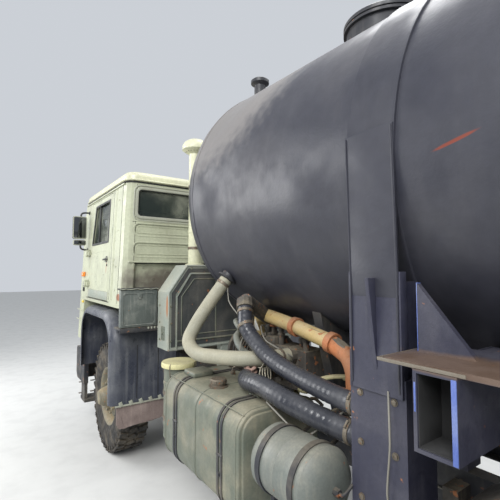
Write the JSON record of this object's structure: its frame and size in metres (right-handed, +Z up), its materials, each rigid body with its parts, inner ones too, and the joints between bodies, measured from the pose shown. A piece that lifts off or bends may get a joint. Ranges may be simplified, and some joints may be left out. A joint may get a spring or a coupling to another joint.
{
  "type": "cab-over tanker truck with a vacuum tank",
  "caption": "Two-axle cab-over tanker truck: long dished tank on cradles behind a small day cab, with steering, tilting cab, doors and manhole lid.",
  "frame": {"origin": "on the ground, in the middle of the object's box", "axes": "+Z up, +Y towards the rear, +X towards the truck's left side"},
  "size_m": [2.82, 7.2, 3.6871],
  "materials": {
    "chassis_steel": "dusty black paint",
    "cast_iron": "oily cast iron",
    "tyre": "worn tread rubber",
    "wheel_paint": "dusty paint",
    "black_hose": "ribbed rubber",
    "beige_hose": "dusty rubber",
    "guard_plastic": "dusty moulding",
    "flap_rubber": "dusty rubber sheet",
    "cab_paint": "worn cream paint",
    "shroud_paint": "dusty grey-green paint",
    "chassis_tanks": "dusty grey-green paint",
    "tank_paint": "scuffed black paint",
    "pipe_steel": "dusty, rusty pipe",
    "glass": "dusty glass",
    "mirror_glass": "mirror",
    "lamp_clear": "lamp glass",
    "lamp_orange": "lamp lens",
    "lamp_red": "lamp lens",
    "interior": "grained plastic",
    "seat_cloth": "woven cloth"
  },
  "bodies": {
    "root": {"rail_left": "chassis_steel", "rail_right": "chassis_steel", "crossmember_front": "chassis_steel", "crossmember_mid": "chassis_steel", "crossmember_rear": "chassis_steel", "front_bumper": "chassis_steel", "rear_bumper": "chassis_steel", "engine_gearbox": "cast_iron", "front_axle": "cast_iron", "rear_axle": "cast_iron", "engine_shroud": "shroud_paint", "air_intake": "cab_paint", "front_mudguard_left": "guard_plastic", "front_mudguard_right": "guard_plastic", "fuel_tank": "chassis_tanks", "air_receiver": "chassis_tanks", "filter_canister": "chassis_tanks", "battery_box": "chassis_steel", "vacuum_pump": "cast_iron", "hose_riser": "beige_hose", "hose_upper": "black_hose", "hose_lower": "black_hose", "tank_shell": "tank_paint", "front_saddle": "chassis_steel", "mid_cradle": "chassis_steel", "rear_cradle": "chassis_steel", "rear_mudguard_left": "chassis_steel", "rear_mudguard_right": "chassis_steel", "ladder": "chassis_steel"},
    "cab": {"cab_shell": "cab_paint", "cab_roof": "cab_paint", "windshield": "glass", "rear_window_left": "glass", "rear_window_right": "glass", "dashboard": "interior", "seat_left": "seat_cloth", "seat_right": "seat_cloth", "mirror_left": "interior", "mirror_right": "interior"},
    "left_door": {"door_left": "cab_paint", "door_glass_left": "glass"},
    "right_door": {"door_right": "cab_paint", "door_glass_right": "glass"},
    "lid": {"manhole_lid": "tank_paint"},
    "left_knuckle": {"knuckle_left": "cast_iron"},
    "right_knuckle": {"knuckle_right": "cast_iron"},
    "left_front_wheel": {"front_wheel_left": "tyre"},
    "right_front_wheel": {"front_wheel_right": "tyre"},
    "left_twin_wheel": {"twin_wheel_left": "tyre"},
    "right_twin_wheel": {"twin_wheel_right": "tyre"}
  },
  "joints": [
    {"name": "steer_left", "type": "hinge", "parent": "root", "child": "left_knuckle", "pos_m": [0.86, -2.38, 0.56], "axis": [0, 0, 1], "range_deg": [-30, 30]},
    {"name": "steer_right", "type": "hinge", "parent": "root", "child": "right_knuckle", "pos_m": [-0.86, -2.38, 0.56], "axis": [0, 0, 1], "range_deg": [-30, 30]},
    {"name": "roll_front_left", "type": "hinge", "parent": "left_knuckle", "child": "left_front_wheel", "pos_m": [1.01, -2.38, 0.56], "axis": [1, 0, 0], "continuous": true},
    {"name": "roll_front_right", "type": "hinge", "parent": "right_knuckle", "child": "right_front_wheel", "pos_m": [-1.01, -2.38, 0.56], "axis": [1, 0, 0], "continuous": true},
    {"name": "roll_rear_left", "type": "hinge", "parent": "root", "child": "left_twin_wheel", "pos_m": [1.094, 1.62, 0.56], "axis": [1, 0, 0], "continuous": true},
    {"name": "roll_rear_right", "type": "hinge", "parent": "root", "child": "right_twin_wheel", "pos_m": [-1.094, 1.62, 0.56], "axis": [1, 0, 0], "continuous": true},
    {"name": "cab_tilt", "type": "hinge", "parent": "root", "child": "cab", "pos_m": [0, -3.36, 1.02], "axis": [1, 0, 0], "range_deg": [0, 50]},
    {"name": "open_left_door", "type": "hinge", "parent": "cab", "child": "left_door", "pos_m": [1.28, -2.934, 1.6], "axis": [0.0386, 0, -0.9993], "range_deg": [0, 65]},
    {"name": "open_right_door", "type": "hinge", "parent": "cab", "child": "right_door", "pos_m": [-1.28, -2.934, 1.6], "axis": [0.0386, 0, 0.9993], "range_deg": [0, 65]},
    {"name": "open_lid", "type": "hinge", "parent": "root", "child": "lid", "pos_m": [0, 0.69488, 3.59181], "axis": [-1, 0, 0], "range_deg": [0, 105]}
  ],
  "couplings": [
    {"joint": "steer_right", "follows": "steer_left", "ratio": 1}
  ]
}
